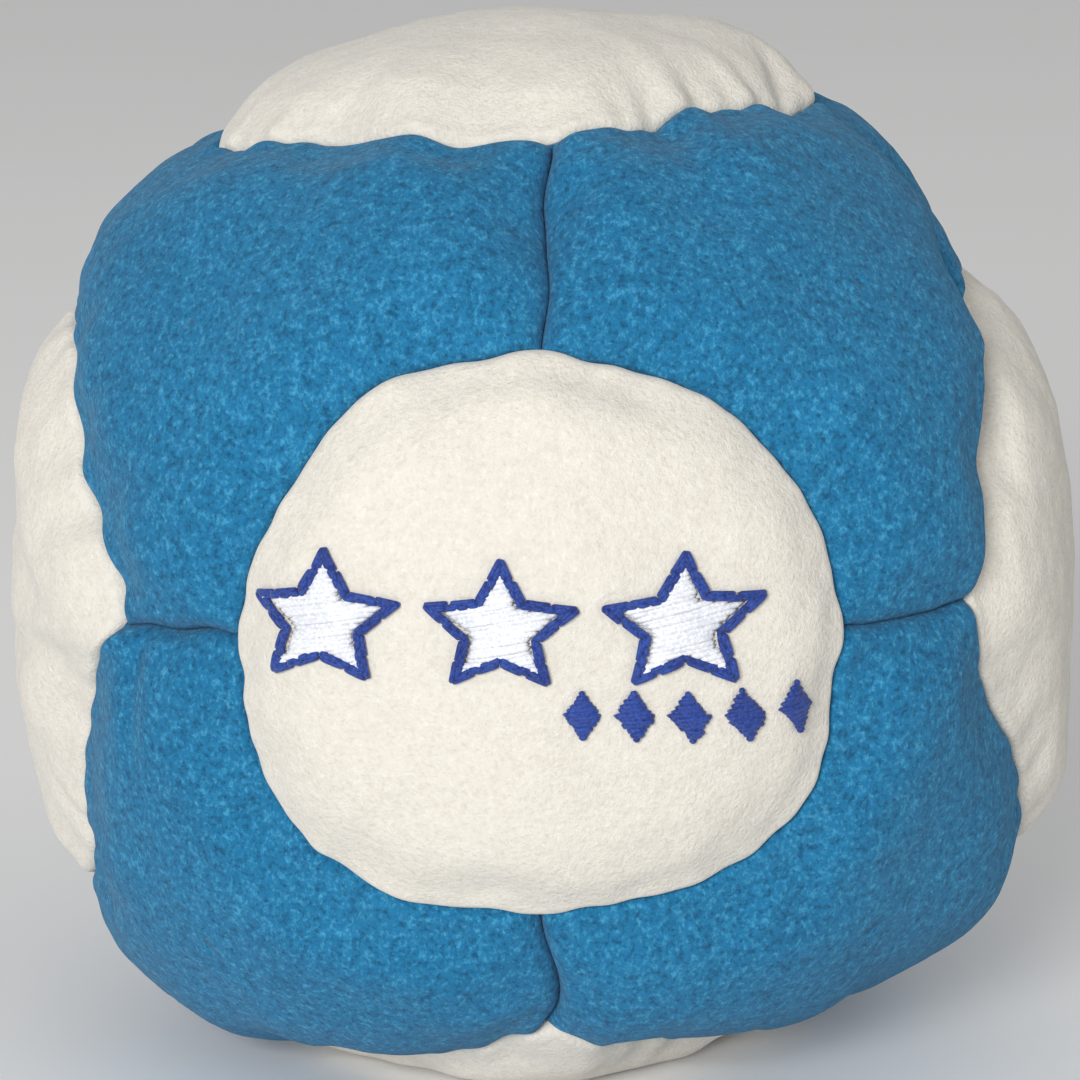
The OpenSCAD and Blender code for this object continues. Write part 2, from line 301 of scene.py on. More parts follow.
def around_rings(k, phi, ring_d):
    """Sideways wander of the nearest ring, and the height of the puckers that run square to it.
    Both are ripples around the ring, and short puckers die out sooner with distance from it."""
    wander, pucker = np.zeros_like(phi), np.zeros_like(phi)
    reach = 0.5 * 2 * math.pi * BAG_R * math.sin(SEAM_ANGLE) / PUCKER_TURNS
    for i in range(len(SIDES)):
        here = k == i
        wander[here] = ripple(WANDER_SEED + i, RING_TURNS, RING_WANDER * RING_SHARES[i], phi[here])
        fade = PUCKER_RISE * RING_SHARES[i] * np.exp(-ring_d[here][..., None] / reach)
        pucker[here] = ripple(PUCKER_SEED + i, PUCKER_TURNS, fade, phi[here])
    near = phi - np.round(phi / QUARTER) * QUARTER
    return wander + NOTCH * np.exp(-((near / NOTCH_SPREAD) ** 2)), pucker


# The lattice's step in millimetres, and its steps from the middle to an outer face. It stays
# empty until the cloth has been simulated.
STEP = 1.0
LATTICE_HALF = 33
lattice = None


def smeared(values, passes):
    """Values on the lattice, each pass made the 1-2-1 weighted mean of its neighbours."""
    for _ in range(passes):
        for axis in range(3):
            values = (np.roll(values, 1, axis) + 2 * values + np.roll(values, -1, axis)) / 4
    return values


def on_lattice(p, moves, passes):
    """Smeared sums, on a lattice of cubes, of moves known at scattered places and of how many
    there are of them."""
    size = 2 * LATTICE_HALF + 1
    cell = np.rint((p - [0, 0, MIDDLE_H]) / STEP).astype(int) + LATTICE_HALF
    index = np.ravel_multi_index(cell.T, (size,) * 3)
    columns = (moves[:, 0], moves[:, 1], moves[:, 2], np.ones(len(p)))
    sums = [np.bincount(index, c, size**3).reshape((size,) * 3) for c in columns]
    return np.stack([smeared(c, passes) for c in sums], -1)


def eased(p):
    """How far the simulated cloth moves each place: the lattice's mean move, blended from the
    27 nearest lattice points with quadratic B-spline weights."""
    if lattice is None:
        return np.zeros_like(p)
    x = (p - [0, 0, MIDDLE_H]) / STEP + LATTICE_HALF
    near = np.rint(x).astype(int)
    f = x - near
    weights = np.stack([(0.5 - f) ** 2 / 2, 0.75 - f**2, (0.5 + f) ** 2 / 2])
    total = np.zeros(p.shape[:-1] + (4,))
    for i in range(3):
        for j in range(3):
            for k in range(3):
                w = weights[i, ..., 0] * weights[j, ..., 1] * weights[k, ..., 2]
                at = near + [i - 1, j - 1, k - 1]
                total += w[..., None] * lattice[at[..., 0], at[..., 1], at[..., 2]]
    return total[..., :3] / (total[..., 3:] + 1e-3)


# The skin falls towards its seams by SEAM_FALL over these distances, white and blue apart.
SEAM_FALL = 0.55
RING_FALL_REACH = {False: 2.4, True: 3.2}
EDGE_FALL_REACH = 2.4
STITCH_DIP = 0.05
STITCH_REACH = 0.9
PLUMP = 0.35
PLUMP_REACH = 6
# Unevenness of the suede: seed, height and size
RELIEF = [(3, 0.10, 9.0), (4, 0.045, 4.2), (5, 0.02, 1.9)]


def places(q, blue):
    """Turns pattern directions into places on the bag. The distance to the nearest ring, and for a
    blue panel the distance to the nearest short seam, is redrawn by the rolled edge. Then the ring
    wanders, the short seams sway, the panels drift, and the skin gets its swell, puckers and
    stitched dips. Returns the places, their directions from the middle and the seam distance."""
    k, axis, first, second = nearest_side(q)
    theta, phi = polar(q, axis, first, second)
    ring_d = np.abs(theta - SEAM_ANGLE) * BAG_R
    quarter = np.round(phi / QUARTER) * QUARTER
    off = phi - quarter
    edge_d = np.full_like(ring_d, 1e3)
    if blue:
        edge_d = BAG_R * np.arcsin(np.clip(np.sin(theta) * np.abs(np.sin(off)), 0, 1))
    ring_square, ring_drop = roll_in(ring_d, RING_ROLL)
    edge_square, edge_drop = roll_in(edge_d, EDGE_ROLL)
    leaning = np.sin(np.minimum(edge_square, 30) / BAG_R) / np.sin(theta + 1e-9)
    turned = np.arcsin(np.clip(leaning, -1, 1))
    phi = np.where(edge_d < ROLL_REACH, quarter + np.sign(off) * turned, phi)
    wander, pucker = around_rings(k, phi, ring_square)
    theta = SEAM_ANGLE + (1 if blue else -1) * ring_square / BAG_R
    theta = theta + wander * np.exp(-ring_square / WANDER_REACH) / BAG_R
    d = from_polar(theta, phi, axis, first, second)
    if blue:
        square_to_seam = np.eye(3)[np.argmin(np.abs(q), axis=-1)]
        ends = 1 - np.exp(-((ring_square / 2.0) ** 2))
        fade = np.clip(1 - edge_square / ROLL_REACH, 0, 1) ** 2
        sway = SWAY * lumps(SWAY_SEED, q * BAG_R, SWAY_SIZE) * fade * ends
        d = d + (sway / BAG_R)[..., None] * square_to_seam
    d = drifted(unit(d), q)

    fall_ring = np.exp(-ring_square / RING_FALL_REACH[blue])
    fall_edge = np.exp(-edge_square / EDGE_FALL_REACH)
    swell = -SEAM_FALL * (fall_ring + fall_edge - fall_ring * fall_edge)
    roll = -(ring_drop + edge_drop * (1 - ring_drop / RING_ROLL))
    stitched = -STITCH_DIP * np.cos(RING_HOLES * phi) * np.exp(-ring_square / STITCH_REACH)
    seam_d = np.minimum(ring_square, edge_square)
    plump = PLUMP * (1 - np.exp(-((seam_d / PLUMP_REACH) ** 2))) if blue else 0.0
    relief = sum(rise * lumps(seed, d * BAG_R, size) for seed, rise, size in RELIEF)
    r = bag_radius(d) + swell + roll + stitched + plump + pucker + relief + folds(d)
    r = r + ledges(d, ring_square, blue)
    p = d * r[..., None] + [0, 0, MIDDLE_H]
    return p + eased(p), d, seam_d


SOFT_LAND = 0.7


def land(p):
    """The bag's weight flattens it on the floor: heights below a soft limit bend up to it."""
    z = p[..., 2]
    bent = (z + SOFT_LAND) ** 2 / (4 * SOFT_LAND)
    z = np.where(z > SOFT_LAND, z, np.where(z < -SOFT_LAND, 0.0, bent))
    return np.concatenate([p[..., :2], z[..., None]], axis=-1)


# ---- Grids ----
ROUND_CELLS = 112 if FINE else 56
ARM_CELLS = 56 if FINE else 28
SKIRT_STEPS = np.array([0, 0.25, 0.7, 1.4, 2.2, ALLOWANCE])
SKIRT_OFF = 0.02
SKIRT_LEAN = 0.06
CROWDING = 0.35


def crowd(t):
    """Moves even steps from 0 to 1 closer together towards 0, where the seam is."""
    return t * (CROWDING + (1 - CROWDING) * t)


def round_grid(side, cells=ROUND_CELLS):
    """Square grid bent to the round panel's disc: squares about the middle become circles, and
    the corners of the outermost one lie on the four short seams' ends."""
    axis = np.asarray(AXES[side], float)
    first, second = side_tangents(axis)
    even = np.linspace(-1, 1, cells + 1)
    s, t = np.meshgrid(even, even, indexing="ij")
    ring = np.maximum(np.abs(s), np.abs(t))
    safe = np.where(ring == 0, 1, ring)
    turn = np.where(np.abs(s) >= np.abs(t), t / safe * np.sign(s), 0)
    phi = np.where(
        np.abs(s) >= np.abs(t),
        np.where(s < 0, math.pi, 0) + QUARTER / 2 * turn,
        np.where(t < 0, -QUARTER, QUARTER) - QUARTER / 2 * s / safe * np.sign(t),
    )
    theta = SEAM_ANGLE * (1 - crowd(1 - ring))
    return from_polar(theta, phi + QUARTER / 2, axis, first, second)


def arc(axis, start, end, t):
    """Points of a side's ring from the bearing of one axis to that of another."""
    axis, start, end = (np.asarray(v, float) for v in (axis, start, end))
    turn = t[..., None] * QUARTER
    across = np.cos(turn) * start + np.sin(turn) * end
    return math.cos(SEAM_ANGLE) * axis + math.sin(SEAM_ANGLE) * across


def arm_grid(a, b, c, down=ROUND_CELLS // 2, along=ARM_CELLS):
    """One arm of the corner panel between axes a, b and c: the patch from the short seam between
    the rings of a and b to the panel's middle. Its two sides run half-way along the rings, and
    its far side goes over the middle. The inside is a Coons patch of the four sides."""
    rows = crowd(np.linspace(0, 1, down + 1))
    half = crowd(np.linspace(0, 1, along // 2 + 1))
    cols = np.concatenate([half / 2, 1 - half[-2::-1] / 2])
    u, v = np.meshgrid(cols, rows, indexing="ij")
    a, b, c = (np.asarray(x, float) for x in (a, b, c))
    middle = unit(a + b + c)
    left = arc(a, b, c, rows / 2)
    right = arc(b, a, c, rows / 2)
    span = (SEAM_ANGLE + cols * (QUARTER - 2 * SEAM_ANGLE))[:, None]
    near = np.cos(span) * a + np.sin(span) * b
    first, last = left[-1], right[-1]
    w = cols[:, None] * 2
    far = unit(np.where(w < 1, first + (middle - first) * w, middle + (last - middle) * (w - 1)))
    u, v = u[..., None], v[..., None]
    sides = (1 - u) * left[None] + u * right[None] + (1 - v) * near[:, None] + v * far[:, None]
    corners = (
        (1 - u) * (1 - v) * left[0] + u * (1 - v) * right[0]
        + (1 - u) * v * left[-1] + u * v * right[-1]
    )
    return unit(sides - corners)


def skirt(edge_q, towards, blue):
    """The turned-in allowance below a run of a panel's edge: rows that go down along the bag's
    radius from the seam's valley, and lean a little off the seam towards the panel's middle."""
    p, d, _ = places(edge_q, blue)
    lean = unit(towards - dot(towards, d)[..., None] * d)
    down = SKIRT_STEPS[:, None, None]
    return p[None] - down * d[None] + (SKIRT_OFF + SKIRT_LEAN * down) * lean[None]


def joined(grids):
    """Vertices and quads of several grids, with the vertices that share a place made one."""
    points = np.concatenate([g.reshape(-1, 3) for g in grids])
    faces, start = [], 0
    for g in grids:
        index = np.arange(g.shape[0] * g.shape[1]).reshape(g.shape[:2]) + start
        corners = (index[:-1, :-1], index[1:, :-1], index[1:, 1:], index[:-1, 1:])
        faces.append(np.stack(corners, -1).reshape(-1, 4))
        start += index.size
    _, kept, where = np.unique(np.round(points, 5), axis=0, return_index=True, return_inverse=True)
    return points[kept], where.ravel()[np.concatenate(faces)]


def facing_out(grid, inside):
    """The grid, turned over if its faces look towards a point inside the piece."""
    across = np.cross(grid[1:, :-1] - grid[:-1, :-1], grid[:-1, 1:] - grid[:-1, :-1])
    return grid if (across * (grid[:-1, :-1] - inside)).sum() > 0 else grid[::-1]


# ---- Cloth ----
# The simulated bag's metres for each millimetre, the share of each length that the suede is
# cut too large, the longest move in millimetres, and the share of the even swelling kept.
SIM_CELLS = 32
SIM_SCALE = 0.02
SIM_FRAMES = 18
PRESSURE = 3.0
SPARE_CLOTH = 0.06
MOST_MOVE = 1.2
KEPT_SWELL = 0.2
HELD_WITHIN = 0.02
FINE_PASSES = 1
BROAD_PASSES = 14


def sim_skin():
    """The bag's skin as one coarse mesh, and which of its vertices lie in a seam."""
    arms = []
    for signs in CORNERS.values():
        a, b, c = (s * e for s, e in zip(signs, np.eye(3)))
        for turned in ((a, b, c), (b, c, a), (c, a, b)):
            arms.append(arm_grid(*turned, SIM_CELLS // 2, SIM_CELLS // 2))
    rounds = [round_grid(s, SIM_CELLS) for s in SIDES]
    parts = []
    for grids, blue in ((rounds, False), (arms, True)):
        q, faces = joined([facing_out(g, np.zeros(3)) for g in grids])
        p, _, seam = places(unit(q), blue)
        parts.append((p, faces, seam < HELD_WITHIN))
    (p0, f0, s0), (p1, f1, s1) = parts
    return np.concatenate([p0, p1]), np.concatenate([f0, f1 + len(p0)]), np.concatenate([s0, s1])


def simulated():
    """Cuts the suede a little large, holds it at its seams, blows it up for a few frames as cloth,
    and returns the vertices' places and moves. The bag is simulated at a larger scale."""
    p, faces, held = sim_skin()
    mesh = bpy.data.meshes.new("cloth")
    mesh.from_pydata((p * SIM_SCALE).tolist(), [], faces.tolist())
    body = bpy.data.objects.new("cloth", mesh)
    bpy.context.scene.collection.objects.link(body)
    body.vertex_groups.new(name="sewn").add(np.flatnonzero(held).tolist(), 1.0, "REPLACE")
    cloth = body.modifiers.new("cloth", "CLOTH")
    cloth.point_cache.frame_end = SIM_FRAMES
    setup = cloth.settings
    setup.quality = 6
    setup.mass = 0.3
    setup.tension_stiffness = setup.compression_stiffness = 15
    setup.shear_stiffness = 5
    setup.bending_stiffness = 0.6
    setup.shrink_min = -SPARE_CLOTH
    setup.use_pressure = True
    setup.uniform_pressure_force = PRESSURE
    setup.vertex_group_mass = "sewn"
    setup.effector_weights.gravity = 0
    cloth.collision_settings.use_collision = False
    scene = bpy.context.scene
    for frame_number in range(1, SIM_FRAMES + 1):
        scene.frame_set(frame_number)
    result = body.evaluated_get(bpy.context.evaluated_depsgraph_get())
    after = np.empty(len(p) * 3)
    result.data.vertices.foreach_get("co", after)
    moves = after.reshape(-1, 3) / SIM_SCALE - p
    scene.frame_set(1)
    bpy.data.objects.remove(body)
    bpy.data.meshes.remove(mesh)
    far = np.linalg.norm(moves, axis=-1, keepdims=True)
    return p, moves * np.minimum(1, MOST_MOVE / np.maximum(far, 1e-6))


if FINE:
    # The broad mean of the moves is the even swelling, and most of it is taken out again.
    cloth_p, cloth_moves = simulated()
    fine_moves = on_lattice(cloth_p, cloth_moves, FINE_PASSES)
    broad_moves = on_lattice(cloth_p, cloth_moves, BROAD_PASSES)
    share = broad_moves[..., :3] / (broad_moves[..., 3:] + 1e-6)
    fine_moves[..., :3] -= (1 - KEPT_SWELL) * share * fine_moves[..., 3:]
    lattice = fine_moves

# ---- Pieces ----


def trimmed(quads):
    """The quads as lists of corners. One with a doubled corner becomes a triangle, and one with
    fewer than three separate corners is left out."""
    fresh = quads != np.roll(quads, 1, axis=1)
    three = fresh.sum(1) == 3
    return quads[fresh.all(1)].tolist() + quads[three][fresh[three]].reshape(-1, 3).tolist()


def new_piece(name, points, faces, node):
    """Makes a mesh from millimetre points, rides it on the root body, and hides the CAD part that it
    replaces.
    """
    mesh = bpy.data.meshes.new(name)
    mesh.from_pydata((points * MM).tolist(), [], trimmed(faces))
    mesh.update()
    mesh.polygons.foreach_set("use_smooth", np.ones(len(mesh.polygons), bool))
    piece = bpy.data.objects.new(name, mesh)
    bpy.context.scene.collection.objects.link(piece)
    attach(piece, "root")
    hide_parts(node)
    return piece


def give(piece, material):
    """Sets the piece's one material."""
    piece.data.materials.clear()
    piece.data.materials.append(material)


# The inner face lies this far in, but comes close to the skin where three panels meet.
WALL = 0.7
WALL_LEVELS = 10
PINCH = 0.95
PINCH_REACH = 1.3
# How far under the skin a place lies that is certain to be behind every part of its panel
WELL_INSIDE = 6


def panel(name, surface_grids, edge_runs, middle, blue):
    """A closed panel: its outer skin, its turned-in allowances, and an inner face that Solidify
    adds. The wall thins out, by a bell curve of the distance, at the ends of its seams."""
    middle = np.asarray(middle, float)
    inside = places(unit(middle)[None], blue)[0][0] - WELL_INSIDE * unit(middle)
    grids = [facing_out(land(places(q, blue)[0]), inside) for q in surface_grids]
    grids += [facing_out(land(skirt(q, middle, blue)), inside) for q in edge_runs]
    points, faces = joined(grids)
    node = f"corner_panel_{name}" if blue else f"round_panel_{name}"
    piece = new_piece(
        f"{node}_suede", points, faces, node
    )
    ends = np.concatenate([land(places(q[[0, -1]], blue)[0]) for q in edge_runs])
    far = np.linalg.norm(points[:, None] - ends[None], axis=-1).min(1)
    share = 1 - PINCH * np.exp(-((far / PINCH_REACH) ** 2))
    level = np.rint(WALL_LEVELS * share).astype(int)
    pinched = piece.vertex_groups.new(name="wall")
    for i in range(WALL_LEVELS + 1):
        pinched.add(np.flatnonzero(level == i).tolist(), i / WALL_LEVELS, "REPLACE")
    wall = piece.modifiers.new("suede thickness", "SOLIDIFY")
    wall.thickness = WALL * MM
    wall.offset = -1
    wall.vertex_group = "wall"
    return piece


def round_panel(side):
    """One side's white disc, with its four quarters of edge turned in."""
    grid = round_grid(side)
    runs = [grid[0], grid[-1], grid[:, 0], grid[:, -1]]
    return panel(side, [grid], runs, AXES[side], False)


def corner_panel(name):
    """One corner's blue panel of three arms, with the ends and sides of its arms turned in."""
    signs = CORNERS[name]
    a, b, c = (s * e for s, e in zip(signs, np.eye(3)))
    arms = [arm_grid(a, b, c), arm_grid(b, c, a), arm_grid(c, a, b)]
    runs = [run for g in arms for run in (g[:, 0], g[0], g[-1])]
    return panel(name, arms, runs, signs, True)


white_panels = [round_panel(s) for s in SIDES]
blue_panels = [corner_panel(c) for c in CORNERS]

# ---- Thread ----


def tubes(paths, radii, hints, sides=8):
    """Round bars along several paths at once: circles of the given radii around each path point,
    square to the path, the first point of each circle towards the hint. Paths are (bars, points,
    3), radii (points) or (bars, points). A radius of nought closes an end."""
    along = unit(np.gradient(paths, axis=1))
    up = unit(hints - dot(hints, along)[..., None] * along)
    across = np.cross(along, up)
    turn = np.linspace(0, 2 * math.pi, sides + 1)
    circle = np.cos(turn)[:, None] * up[:, :, None] + np.sin(turn)[:, None] * across[:, :, None]
    radii = np.broadcast_to(radii, paths.shape[:2])
    return [g for g in paths[:, :, None] + radii[..., None, None] * circle]


def closed_ends(count, radius, taper=2):
    """Radii along a bar that shrink to nought over the last few points at both ends."""
    step = np.minimum(np.arange(count), np.arange(count)[::-1]) / taper
    return radius * np.sqrt(1 - (1 - np.clip(step, 0, 1)) ** 2)


def seam_frame(q, blue):
    """Along a seam: its valley's places, the directions out of the bag, and across the seam."""
    p, d, _ = places(q, blue)
    p = land(p)
    along = unit(np.gradient(p, axis=0))
    return p, d, np.cross(along, d)


# Points of path between two holes, how far beside the seam a run lies, and how squarely the
# thread turns between its runs and its crossings
HOLE_POINTS = 14
RUN_OUT = 0.95
WEAVE = 3.0
# Depths of a crossing and of a run below the valley. A ladder's crossings stand out of it.
STITCH_DEPTHS = (0.12, 0.8)
LADDER_DEPTHS = (-0.42, 0.45)
LADDER_INSET = 0.02
EDGE_SPAN = (38.0, 52.0)
END_KNOT_SWELL = 0.9
END_KNOT_LENGTH = 0.22
KNOT_SIZE = 0.16
KNOT_POINTS = 97
KNOT_STAND = 1.2


def sewn(q, blue, phase, crossing_depth, run_depth):
    """A running stitch's path: it crosses the seam where the phase passes nought, and between
    the crossings it runs beside the seam, deeper in, on one side and then on the other."""
    p, d, across = seam_frame(q, blue)
    wave = np.tanh(WEAVE * np.sin(phase)) / math.tanh(WEAVE)
    depth = crossing_depth + (run_depth - crossing_depth) * wave**2
    return p - depth[:, None] * d + (RUN_OUT * wave)[:, None] * across, d


def thread_piece(name, path, out, radii, node):
    """A thread's one bar along its path, made into a piece."""
    points, faces = joined(tubes(path[None], radii, out[None]))
    return new_piece(name, points, faces, node)


def ring_thread(side):
    """Running stitch around a round panel. The back one leaves its last quarter open."""
    quarters = 3 if side == "back" else 4
    count = quarters * RING_HOLES // 4 * HOLE_POINTS
    phi = np.linspace(0, quarters * QUARTER, count + 1)
    axis = np.asarray(AXES[side], float)
    q = from_polar(np.full_like(phi, SEAM_ANGLE), phi, axis, *side_tangents(axis))
    path, out = sewn(q, False, RING_HOLES / 2 * phi - QUARTER, *STITCH_DEPTHS)
    radii = closed_ends(count + 1, THREAD_R)
    if quarters == 4:
        radii = np.full(count + 1, THREAD_R)
        path[-1], out[-1] = path[0], out[0]
    return thread_piece(f"ring_thread_{side}_sewn", path, out, radii, f"ring_thread_{side}")


def edge_thread(name):
    """Running stitch along a short seam, with a thicker knot at both ends, inside the bag."""
    a, b = (np.asarray(AXES[s], float) for s in EDGES[name])
    holes = np.radians(np.array(EDGE_SPAN))
    step = (holes[1] - holes[0]) / (EDGE_HOLES - 1)
    t = np.linspace(holes[0] - step / 2, holes[1] + step / 2, EDGE_HOLES * HOLE_POINTS)
    q = np.cos(t)[:, None] * a + np.sin(t)[:, None] * b
    path, out = sewn(q, True, (t - holes[0]) / step * math.pi, *STITCH_DEPTHS)
    ends = np.minimum(t - t[0], t[-1] - t) / step
    thicker = 1 + END_KNOT_SWELL * np.exp(-((ends / END_KNOT_LENGTH) ** 2))
    radii = closed_ends(len(t), THREAD_R) * thicker
    return thread_piece(f"edge_thread_{name}_sewn", path, out, radii, f"edge_thread_{name}")


def closing_stitch():
    """Hand-sewn ladder stitch over the open quarter: its rungs lie in the valley, in sight."""
    count = RING_HOLES // 4 * HOLE_POINTS
    phi = np.linspace(3 * QUARTER + LADDER_INSET, 4 * QUARTER - LADDER_INSET, count)
    axis = np.asarray(AXES["back"], float)
    q = from_polar(np.full_like(phi, SEAM_ANGLE), phi, axis, *side_tangents(axis))
    path, out = sewn(q, False, RING_HOLES / 2 * phi - QUARTER, *LADDER_DEPTHS)
    radii = closed_ends(count, THREAD_R)
    return thread_piece("closing_stitch_sewn", path, out, radii, "closing_stitch")


def closing_knot():
    """A trefoil of thread that sits in the valley at the end of the closing stitch: across the
    seam sin t + 2 sin 2t, along it cos t - 2 cos 2t, and out of it -sin 3t, at the knot's size."""
    axis = np.asarray(AXES["back"], float)
    phi = np.array([-0.03, 0.0, 0.03])
    q = from_polar(np.full_like(phi, SEAM_ANGLE), phi, axis, *side_tangents(axis))
    p, d, across = (v[1] for v in seam_frame(q, False))
    t = np.linspace(0, 2 * math.pi, KNOT_POINTS)[:, None]
    x = np.sin(t) + 2 * np.sin(2 * t)
    y = np.cos(t) - 2 * np.cos(2 * t)
    z = -np.sin(3 * t) + KNOT_STAND
    path = p + KNOT_SIZE * (x * across + y * np.cross(d, across) + z * d)
    out = np.broadcast_to(d, path.shape)
    radii = np.full(KNOT_POINTS, THREAD_R)
    return thread_piece("closing_knot_tied", path, out, radii, "closing_knot")


threads = [ring_thread(s) for s in SIDES] + [edge_thread(e) for e in EDGES]
threads += [closing_stitch(), closing_knot()]

# ---- Embroidery ----
STAR_R = 4.0
STAR_VALLEY = 0.5
STAR_PITCH = 8.1
STAR_MIDDLES = [(-1.3 + (i - 1) * STAR_PITCH, 1.9) for i in range(3)]
STAR_SLOPE = math.radians(12)
OUTLINE_W = 0.5
OUTLINE_PASSES = 3
OUTLINE_SHIFT = 0.13
DIAMOND_W = 0.95
DIAMOND_H = 1.3
DIAMOND_PITCH = 2.25
DIAMOND_MIDDLES = [(6.9 + (i - 2) * DIAMOND_PITCH, -2.9) for i in range(5)]
DIAMOND_SLOPE = math.radians(8)
FILL_PITCH = 0.25
DIAMOND_FILL_PITCH = 0.22
STITCH_LEN = 1.15
STITCH_POINTS = 9
STITCH_START = 0.1
# Thread radius, height of the arch, and how far a stitch's ends stray
FILL_STITCH = (0.17, 0.24, 0.02)
OUTLINE_STITCH = (0.13, 0.34, 0.02)
DIAMOND_STITCH = (0.15, 0.3, 0.03)
FILL_SEED = 100
OUTLINE_SEED = 200
DIAMOND_SEED = 300


def on_front(x, z):
    """Places on the front panel that lie behind a drawing in x and z, and their directions out."""
    y = -np.sqrt(BAG_R**2 - x**2 - z**2)
    p, d, _ = places(np.stack([x, y, z], -1) / BAG_R, False)
    return p, d


def star_corners(r):
    """Corners of a five-pointed star around the origin, points and valleys in turn."""
    turn = np.arange(10) * math.pi / 5
    reach = np.where(np.arange(10) % 2, STAR_VALLEY, 1) * r
    return np.stack([np.sin(turn) * reach, np.cos(turn) * reach], -1)


def moved_in(corners, inset):
    """A star or diamond whose edges all lie equally far from its middle, moved in by inset."""
    a, b = corners, np.roll(corners, -1, axis=0)
    far = np.abs(a[:, 0] * b[:, 1] - a[:, 1] * b[:, 0]) / np.linalg.norm(b - a, axis=1)
    return corners * (1 - inset / far[:1])


def crossings(corners, slope, pitch):
    """Runs of satin stitch inside an outline: where parallel lines at a slope, a pitch apart, go
    into the outline and come out of it. Returns each run's two ends."""
    along = np.array([math.cos(slope), math.sin(slope)])
    over = np.array([-along[1], along[0]])
    u, v = corners @ along, corners @ over
    u2, v2 = np.roll(u, -1), np.roll(v, -1)
    lines = np.arange(v.min() + pitch / 2, v.max(), pitch)
    hit = (v[None] > lines[:, None]) != (v2[None] > lines[:, None])
    share = (lines[:, None] - v[None]) / np.where(v2 == v, 1, v2 - v)[None]
    at = np.sort(np.where(hit, u[None] + share * (u2 - u)[None], np.inf), axis=1)
    runs = []
    for first in range(0, len(corners) - 1, 2):
        ok = np.isfinite(at[:, first + 1])
        start = at[ok, first][:, None] * along + lines[ok][:, None] * over
        end = at[ok, first + 1][:, None] * along + lines[ok][:, None] * over
        runs.append(np.stack([start, end], 1))
    return np.concatenate(runs)


def raised(starts_ends, middle, stitch, seed):
    """Stitches laid on the front panel: each goes from one end to the other in a flat-topped
    arch, the square root of 1 - (2t - 1) to the fourth, dives into the suede at both ends, and
    strays a little. Returns the bars' grids."""
    radius, rise, loose = stitch
    rng = np.random.default_rng(seed)
    ends = starts_ends + np.asarray(middle) + rng.normal(0, loose, starts_ends.shape)
    t = np.linspace(0, 1, STITCH_POINTS)
    flat = ends[:, :1] + (ends[:, 1:] - ends[:, :1]) * t[None, :, None]
    p, d = on_front(flat[..., 0], flat[..., 1])
    arch = np.sqrt(np.clip(1 - (2 * t - 1) ** 4, 0, 1))
    high = rise * arch[None] * rng.uniform(0.85, 1.15, (len(ends), 1)) - STITCH_START
    return tubes(p + high[..., None] * d, closed_ends(STITCH_POINTS, radius, 1), d, sides=6)


def outline_runs(corners):
    """Short stitches end to end around an outline, gone over a number of times side by side. Each
    pass has one stitch more to an edge than the last, so that their ends don't line up."""
    runs = []
    for k in range(OUTLINE_PASSES):
        c = moved_in(corners, OUTLINE_SHIFT * (k - (OUTLINE_PASSES - 1) / 2))
        n = np.roll(c, -1, axis=0)
        pieces = k + max(1, int(round(np.linalg.norm(n[0] - c[0]) / STITCH_LEN)))
        t = np.arange(pieces) / pieces
        start = c[:, None] + (n - c)[:, None] * t[None, :, None]
        end = c[:, None] + (n - c)[:, None] * (t + 1 / pieces)[None, :, None]
        runs.append(np.stack([start, end], 2).reshape(-1, 2, 2))
    return np.concatenate(runs)


star = star_corners(STAR_R)
star_runs = crossings(moved_in(star, OUTLINE_W * 0.8), STAR_SLOPE, FILL_PITCH)
rim_runs = outline_runs(moved_in(star, OUTLINE_W * 0.5))
diamond = np.array([[DIAMOND_W, 0], [0, DIAMOND_H], [-DIAMOND_W, 0], [0, -DIAMOND_H]])
diamond_runs = crossings(diamond, DIAMOND_SLOPE, DIAMOND_FILL_PITCH)
fill, outline, diamonds = [], [], []
for i, middle in enumerate(STAR_MIDDLES):
    fill += raised(star_runs, middle, FILL_STITCH, FILL_SEED + i)
    outline += raised(rim_runs, middle, OUTLINE_STITCH, OUTLINE_SEED + i)
for i, middle in enumerate(DIAMOND_MIDDLES):
    diamonds += raised(diamond_runs, middle, DIAMOND_STITCH, DIAMOND_SEED + i)

points, faces = joined(fill)
embroidery_fill = new_piece("star_filling", points, faces, "embroidery_fill")
points, faces = joined(outline)
embroidery_outline = new_piece("star_outlines", points, faces, "embroidery_outline")
points, faces = joined(diamonds)
embroidery_diamonds = new_piece("diamonds", points, faces, "embroidery_diamonds")


BACKING_R = 12.4
BACKING_T = 0.3
BACKING_POINTS = 41
BACKING_GAP = 0.1


def backing_sheet():
    """Disc of backing behind the embroidered panel, which follows the suede's inner face: a
    square grid whose x is shortened by the root of 1 - z squared / 2, and z likewise."""
    even = np.linspace(-1, 1, BACKING_POINTS)
    s, t = np.meshgrid(even, even, indexing="ij")
    x = s * np.sqrt(1 - t**2 / 2) * BACKING_R
    z = t * np.sqrt(1 - s**2 / 2) * BACKING_R
    p, d = on_front(x, z)
    points, faces = joined([p - (SUEDE_T + BACKING_GAP) * d])
    piece = new_piece("backing_sheet", points, faces, "embroidery_backing")
    wall = piece.modifiers.new("backing thickness", "SOLIDIFY")
    wall.thickness = BACKING_T * MM
    return piece


backing = backing_sheet()

# ---- Sand ----
SAND_ROWS = 91
SAND_COLUMNS = 181
SAND_INSET = 2.2
SAND_GROOVE = 3.4
SAND_GROOVE_REACH = 1.8
SAND_FLOOR = 1.2


